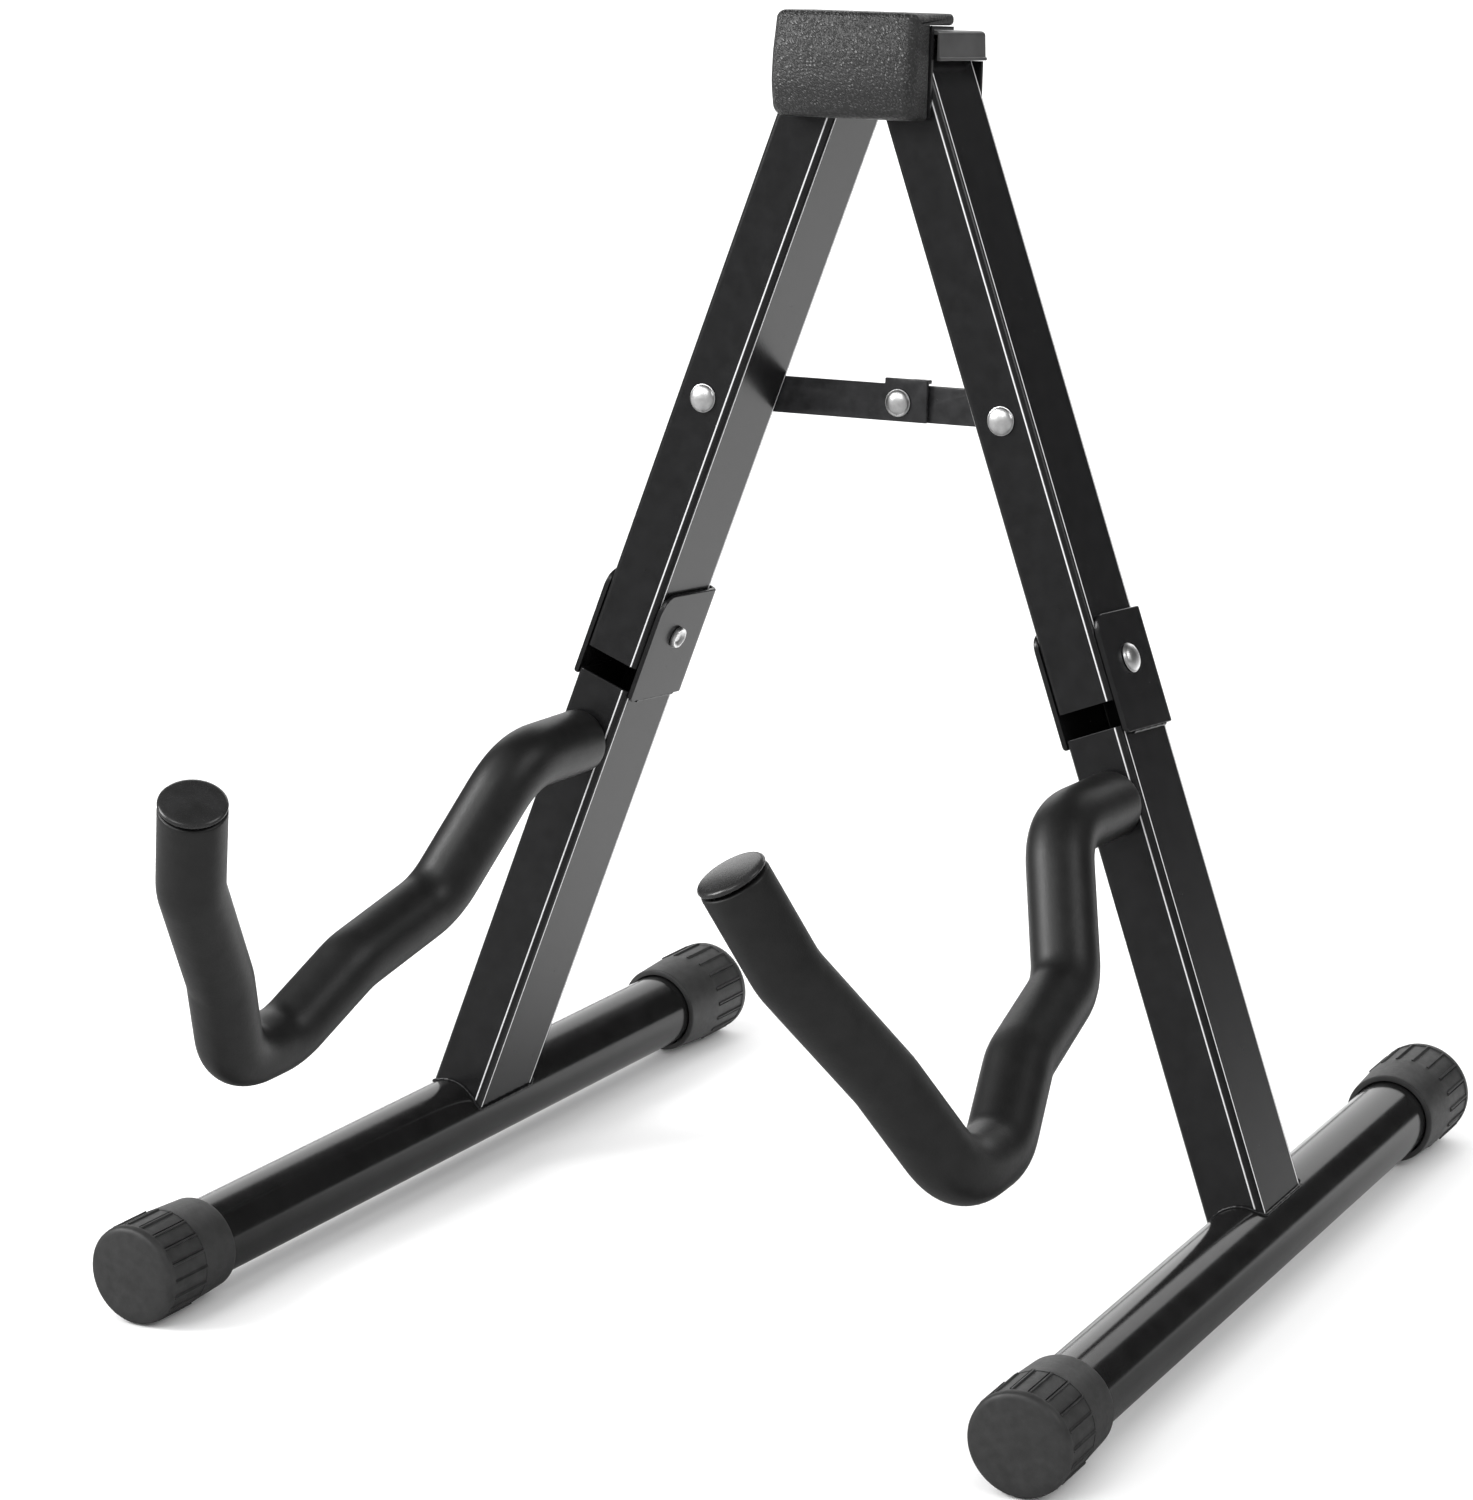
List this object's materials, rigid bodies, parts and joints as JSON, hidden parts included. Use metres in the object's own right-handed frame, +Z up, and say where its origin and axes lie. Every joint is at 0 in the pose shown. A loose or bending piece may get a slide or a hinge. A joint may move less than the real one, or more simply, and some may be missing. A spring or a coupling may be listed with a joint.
{
  "type": "folding guitar stand",
  "caption": "Folding A-frame guitar stand: hinged tube legs with forward-folding knees, foam-sleeved cradle arms, a padded neck rest and a pinned spreader brace.",
  "frame": {"origin": "on the floor, at the centre of the bounding box seen from above", "axes": "+Z up; the cradle arms reach forward along -Y; +X to the right of a person who faces +Y"},
  "size_m": [0.4276, 0.4724, 0.4862],
  "materials": {
    "leg_paint": "semi-gloss black powder coat on steel",
    "foot_gloss": "gloss black enamel on steel tube",
    "rivet_steel": "bright zinc-plated steel, slightly worn",
    "bush_steel": "plain drawn steel tube",
    "dark_screw": "blackened steel",
    "cap_rubber": "matt black moulded rubber with fluted grip",
    "pad_grain": "black leather-grain moulded rubber",
    "arm_foam": "matt black closed-cell foam sleeve",
    "cap_plastic": "glossy black moulded end plug",
    "cover_plastic": "dark grey satin moulded cover"
  },
  "bodies": {
    "head": {"front_plate": "leg_paint", "back_plate": "leg_paint", "top_cover": "cover_plastic", "neck_pad": "pad_grain", "left_pad_screw": "dark_screw", "right_pad_screw": "dark_screw", "left_top_rivet": "rivet_steel", "right_top_rivet": "rivet_steel"},
    "left_upper": {"left_upper_leg": "leg_paint", "left_top_bush": "bush_steel", "left_knee_bush": "bush_steel", "left_brace_rivet": "rivet_steel"},
    "left_lower": {"left_lower_leg": "leg_paint", "left_knee_bracket": "leg_paint", "left_knee_rivet": "rivet_steel", "left_foot_tube": "foot_gloss", "left_foot_cap_front": "cap_rubber", "left_foot_cap_rear": "cap_rubber", "left_arm_tube": "bush_steel", "left_arm_foam": "arm_foam", "left_arm_cap": "cap_plastic"},
    "right_upper": {"right_upper_leg": "leg_paint", "right_top_bush": "bush_steel", "right_knee_bush": "bush_steel", "right_brace_rivet": "rivet_steel"},
    "right_lower": {"right_lower_leg": "leg_paint", "right_knee_bracket": "leg_paint", "right_knee_rivet": "rivet_steel", "right_foot_tube": "foot_gloss", "right_foot_cap_front": "cap_rubber", "right_foot_cap_rear": "cap_rubber", "right_arm_tube": "bush_steel", "right_arm_foam": "arm_foam", "right_arm_cap": "cap_plastic"},
    "brace_left": {"brace_bar_left": "leg_paint", "brace_mid_rivet_head": "rivet_steel"},
    "brace_right": {"brace_bar_right": "leg_paint", "brace_mid_rivet_tail": "rivet_steel"}
  },
  "joints": [
    {"name": "left_spread", "type": "hinge", "parent": "head", "child": "left_upper", "pos_m": [-0.021, 0.10424, 0.45082], "axis": [0, -0.9925, 0.1219], "range_deg": [0, 20.5]},
    {"name": "left_knee", "type": "hinge", "parent": "left_upper", "child": "left_lower", "pos_m": [-0.10295, 0.07753, 0.23327], "axis": [-0.9367, 0.0427, 0.3476], "range_deg": [0, 100]},
    {"name": "left_brace", "type": "hinge", "parent": "left_upper", "child": "brace_left", "pos_m": [-0.06723, 0.08917, 0.3281], "axis": [0, -0.9925, 0.1219], "range_deg": [0, 51.3]},
    {"name": "right_spread", "type": "hinge", "parent": "head", "child": "right_upper", "pos_m": [0.021, 0.10424, 0.45082], "axis": [0, 0.9925, -0.1219], "range_deg": [0, 20.5]},
    {"name": "right_knee", "type": "hinge", "parent": "right_upper", "child": "right_lower", "pos_m": [0.10295, 0.07753, 0.23327], "axis": [-0.9367, -0.0427, -0.3476], "range_deg": [0, 100]},
    {"name": "right_brace", "type": "hinge", "parent": "right_upper", "child": "brace_right", "pos_m": [0.06723, 0.08917, 0.3281], "axis": [0, 0.9925, -0.1219], "range_deg": [0, 51.3]}
  ],
  "couplings": [
    {"joint": "right_spread", "follows": "left_spread", "ratio": 1},
    {"joint": "left_knee", "follows": "left_spread", "ratio": 4.878},
    {"joint": "right_knee", "follows": "left_spread", "ratio": 4.878},
    {"joint": "left_brace", "follows": "left_spread", "ratio": 2.5023},
    {"joint": "right_brace", "follows": "left_spread", "ratio": 2.5023}
  ]
}
